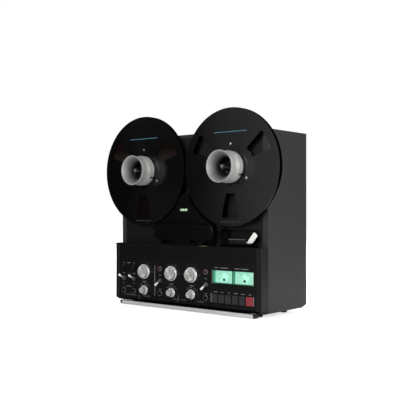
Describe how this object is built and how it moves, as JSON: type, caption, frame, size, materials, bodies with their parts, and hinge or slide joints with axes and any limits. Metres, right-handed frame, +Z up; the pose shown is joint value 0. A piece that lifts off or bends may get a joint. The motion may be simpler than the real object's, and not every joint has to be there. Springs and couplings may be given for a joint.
{
  "type": "reel-to-reel tape recorder",
  "caption": "Upright tape recorder with two large reels on locking hub adapters, hinged head cover, knobs, toggles, piano keys and twin needle meters.",
  "frame": {"origin": "middle of the outer size, on the ground under the feet", "axes": "+X to the right seen from the front, front faces -Y, +Z up"},
  "size_m": [0.5368, 0.2158, 0.4678],
  "materials": {
    "case_paint": "dark grey textured lacquer on board",
    "feet_rubber": "matt",
    "housing_paint": "dark grey powder coat",
    "back_paint": "black paint",
    "deck_paint": "black anodised",
    "panel_paint": "black anodised",
    "cast_metal": "cast",
    "core_steel": "laminated",
    "board_laminate": "glass laminate",
    "socket_metal": "plated",
    "base_metal": "black anodised",
    "head_metal": "polished",
    "polished_steel": "ground and polished",
    "cover_gloss": "glossy black",
    "window_clear": "clear",
    "splicing_metal": "black anodised",
    "nut_metal": "plated",
    "switch_plastic": "moulded",
    "lamp_plastic": "tinted lens in a bright ring",
    "meter_plastic": "moulded",
    "needle_metal": "black",
    "table_metal": "turned",
    "reel_metal": "black anodised, turned",
    "tape_film": "wound film edge",
    "adapter_metal": "turned, clear anodised",
    "arm_metal": "anodised",
    "roller_rubber": "ground",
    "knob_metal": "turned, clear anodised",
    "lever_chrome": "polished",
    "key_plastic": "moulded",
    "record_key_plastic": "moulded",
    "button_plastic": "moulded",
    "cutter_plastic": "moulded, pale",
    "flap_plastic": "moulded",
    "rail_metal": "brushed, with dark ends"
  },
  "bodies": {
    "case": {"cabinet": "case_paint", "rear_cover": "back_paint", "deck_plate": "deck_paint", "control_housing": "housing_paint", "control_panel": "panel_paint", "chassis_frame": "cast_metal", "cabinet_feet": "feet_rubber", "drive_motors": "cast_metal", "power_transformer": "core_steel", "circuit_boards": "board_laminate", "rear_sockets": "socket_metal", "head_base": "base_metal", "tape_heads": "head_metal", "tape_guides": "polished_steel", "head_cover": "cover_gloss", "counter_window": "window_clear", "splicing_block": "splicing_metal", "panel_bushings": "nut_metal", "indicator_lamps": "lamp_plastic", "meter_housing": "meter_plastic", "meter_window": "window_clear", "control_bodies": "switch_plastic"},
    "supply_side": {"supply_turntable": "table_metal", "supply_reel": "reel_metal", "tape_pack": "tape_film", "supply_hub_adapter": "adapter_metal"},
    "takeup_side": {"takeup_turntable": "table_metal", "takeup_reel": "reel_metal", "takeup_hub_adapter": "adapter_metal"},
    "flap": {"cover_flap": "flap_plastic", "flap_rail": "rail_metal"},
    "left_guide_roller": {"left_guide_roller": "polished_steel"},
    "right_guide_roller": {"right_guide_roller": "polished_steel"},
    "capstan_shaft": {"capstan_shaft": "polished_steel"},
    "head_cover_flap": {"head_cover_flap": "cover_gloss"},
    "left_meter_needle": {"left_meter_needle": "needle_metal"},
    "right_meter_needle": {"right_meter_needle": "needle_metal"},
    "supply_adapter_sleeve": {"supply_adapter_sleeve": "adapter_metal"},
    "takeup_adapter_sleeve": {"takeup_adapter_sleeve": "adapter_metal"},
    "pinch_arm": {"pinch_arm": "arm_metal"},
    "pinch_roller": {"pinch_roller": "roller_rubber"},
    "level_knob_a": {"level_knob_a": "knob_metal"},
    "level_knob_b": {"level_knob_b": "knob_metal"},
    "level_knob_c": {"level_knob_c": "knob_metal"},
    "selector_knob_a": {"selector_knob_a": "knob_metal"},
    "selector_knob_b": {"selector_knob_b": "knob_metal"},
    "selector_knob_c": {"selector_knob_c": "knob_metal"},
    "toggle_lever_a": {"toggle_lever_a": "lever_chrome"},
    "toggle_lever_b": {"toggle_lever_b": "lever_chrome"},
    "toggle_lever_c": {"toggle_lever_c": "lever_chrome"},
    "toggle_lever_d": {"toggle_lever_d": "lever_chrome"},
    "transport_key_a": {"transport_key_a": "key_plastic"},
    "transport_key_b": {"transport_key_b": "key_plastic"},
    "transport_key_c": {"transport_key_c": "key_plastic"},
    "transport_key_d": {"transport_key_d": "key_plastic"},
    "transport_key_e": {"transport_key_e": "key_plastic"},
    "transport_key_f": {"transport_key_f": "record_key_plastic"},
    "reset_button": {"reset_button": "button_plastic"},
    "monitor_button": {"monitor_button": "button_plastic"},
    "cutter_lever": {"cutter_lever": "cutter_plastic"}
  },
  "joints": [
    {"name": "supply_spin", "type": "hinge", "parent": "case", "child": "supply_side", "pos_m": [-0.1351, -0.06015, 0.3345], "axis": [0, 1, 0], "continuous": true},
    {"name": "supply_lock", "type": "hinge", "parent": "supply_side", "child": "supply_adapter_sleeve", "pos_m": [-0.1351, -0.08015, 0.3345], "axis": [0, 1, 0], "range_deg": [0, 60]},
    {"name": "takeup_spin", "type": "hinge", "parent": "case", "child": "takeup_side", "pos_m": [0.1351, -0.06015, 0.3345], "axis": [0, 1, 0], "continuous": true},
    {"name": "takeup_lock", "type": "hinge", "parent": "takeup_side", "child": "takeup_adapter_sleeve", "pos_m": [0.1351, -0.08015, 0.3345], "axis": [0, 1, 0], "range_deg": [0, 60]},
    {"name": "capstan_spin", "type": "hinge", "parent": "case", "child": "capstan_shaft", "pos_m": [0.048, -0.06015, 0.1955], "axis": [0, 1, 0], "continuous": true},
    {"name": "pinch_swing", "type": "hinge", "parent": "case", "child": "pinch_arm", "pos_m": [0.072, -0.05515, 0.164], "axis": [0, 1, 0], "range_deg": [0, 21.76]},
    {"name": "pinch_spin", "type": "hinge", "parent": "pinch_arm", "child": "pinch_roller", "pos_m": [0.04298, -0.06015, 0.1687], "axis": [0, 1, 0], "continuous": true},
    {"name": "left_guide_spin", "type": "hinge", "parent": "case", "child": "left_guide_roller", "pos_m": [-0.103, -0.06015, 0.198], "axis": [0, 1, 0], "continuous": true},
    {"name": "right_guide_spin", "type": "hinge", "parent": "case", "child": "right_guide_roller", "pos_m": [0.103, -0.06015, 0.198], "axis": [0, 1, 0], "continuous": true},
    {"name": "level_a_turn", "type": "hinge", "parent": "case", "child": "level_knob_a", "pos_m": [-0.1255, -0.08015, 0.0867], "axis": [0, 1, 0], "range_deg": [-150, 150]},
    {"name": "level_b_turn", "type": "hinge", "parent": "case", "child": "level_knob_b", "pos_m": [-0.0361, -0.08015, 0.0867], "axis": [0, 1, 0], "range_deg": [-150, 150]},
    {"name": "level_c_turn", "type": "hinge", "parent": "case", "child": "level_knob_c", "pos_m": [0.02621, -0.08015, 0.0867], "axis": [0, 1, 0], "range_deg": [-150, 150]},
    {"name": "selector_a_turn", "type": "hinge", "parent": "case", "child": "selector_knob_a", "pos_m": [-0.1255, -0.08015, 0.0412], "axis": [0, 1, 0], "range_deg": [-75, 75]},
    {"name": "selector_b_turn", "type": "hinge", "parent": "case", "child": "selector_knob_b", "pos_m": [-0.0361, -0.08015, 0.0412], "axis": [0, 1, 0], "range_deg": [-75, 75]},
    {"name": "selector_c_turn", "type": "hinge", "parent": "case", "child": "selector_knob_c", "pos_m": [0.02621, -0.08015, 0.0412], "axis": [0, 1, 0], "range_deg": [-75, 75]},
    {"name": "toggle_a_throw", "type": "hinge", "parent": "case", "child": "toggle_lever_a", "pos_m": [-0.19771, -0.07545, 0.067], "axis": [1, 0, 0], "range_deg": [0, 64]},
    {"name": "toggle_b_throw", "type": "hinge", "parent": "case", "child": "toggle_lever_b", "pos_m": [-0.16281, -0.07545, 0.067], "axis": [1, 0, 0], "range_deg": [0, 64]},
    {"name": "toggle_c_throw", "type": "hinge", "parent": "case", "child": "toggle_lever_c", "pos_m": [-0.0736, -0.07545, 0.067], "axis": [-1, 0, 0], "range_deg": [0, 64]},
    {"name": "toggle_d_throw", "type": "hinge", "parent": "case", "child": "toggle_lever_d", "pos_m": [0.0694, -0.07545, 0.067], "axis": [-1, 0, 0], "range_deg": [0, 64]},
    {"name": "key_a_press", "type": "slide", "parent": "case", "child": "transport_key_a", "axis": [0, 1, 0], "range_m": [0, 0.003], "stiffness_N_per_m": 300},
    {"name": "key_b_press", "type": "slide", "parent": "case", "child": "transport_key_b", "axis": [0, 1, 0], "range_m": [0, 0.003], "stiffness_N_per_m": 300},
    {"name": "key_c_press", "type": "slide", "parent": "case", "child": "transport_key_c", "axis": [0, 1, 0], "range_m": [0, 0.003], "stiffness_N_per_m": 300},
    {"name": "key_d_press", "type": "slide", "parent": "case", "child": "transport_key_d", "axis": [0, 1, 0], "range_m": [0, 0.003], "stiffness_N_per_m": 300},
    {"name": "key_e_press", "type": "slide", "parent": "case", "child": "transport_key_e", "axis": [0, 1, 0], "range_m": [0, 0.003], "stiffness_N_per_m": 300},
    {"name": "key_f_press", "type": "slide", "parent": "case", "child": "transport_key_f", "axis": [0, 1, 0], "range_m": [0, 0.003], "stiffness_N_per_m": 300},
    {"name": "reset_press", "type": "slide", "parent": "case", "child": "reset_button", "axis": [0, 1, 0], "range_m": [0, 0.0025], "stiffness_N_per_m": 300},
    {"name": "monitor_press", "type": "slide", "parent": "case", "child": "monitor_button", "axis": [0, 1, 0], "range_m": [0, 0.0025], "stiffness_N_per_m": 300},
    {"name": "left_needle_swing", "type": "hinge", "parent": "case", "child": "left_meter_needle", "pos_m": [0.1178, -0.06615, 0.0806], "axis": [0, 1, 0], "range_deg": [0, 84], "stiffness_Nm_per_rad": 0.00002},
    {"name": "right_needle_swing", "type": "hinge", "parent": "case", "child": "right_meter_needle", "pos_m": [0.1753, -0.06615, 0.0806], "axis": [0, 1, 0], "range_deg": [0, 84], "stiffness_Nm_per_rad": 0.00002},
    {"name": "cutter_swing", "type": "hinge", "parent": "case", "child": "cutter_lever", "pos_m": [0.1783, -0.05215, 0.167], "axis": [0, 1, 0], "range_deg": [0, 40]},
    {"name": "head_flap_swing", "type": "hinge", "parent": "case", "child": "head_cover_flap", "pos_m": [0, -0.07615, 0.1586], "axis": [1, 0, 0], "range_deg": [0, 90]},
    {"name": "flap_slide", "type": "slide", "parent": "case", "child": "flap", "axis": [0, -1, 0], "range_m": [0, 0.06]}
  ]
}
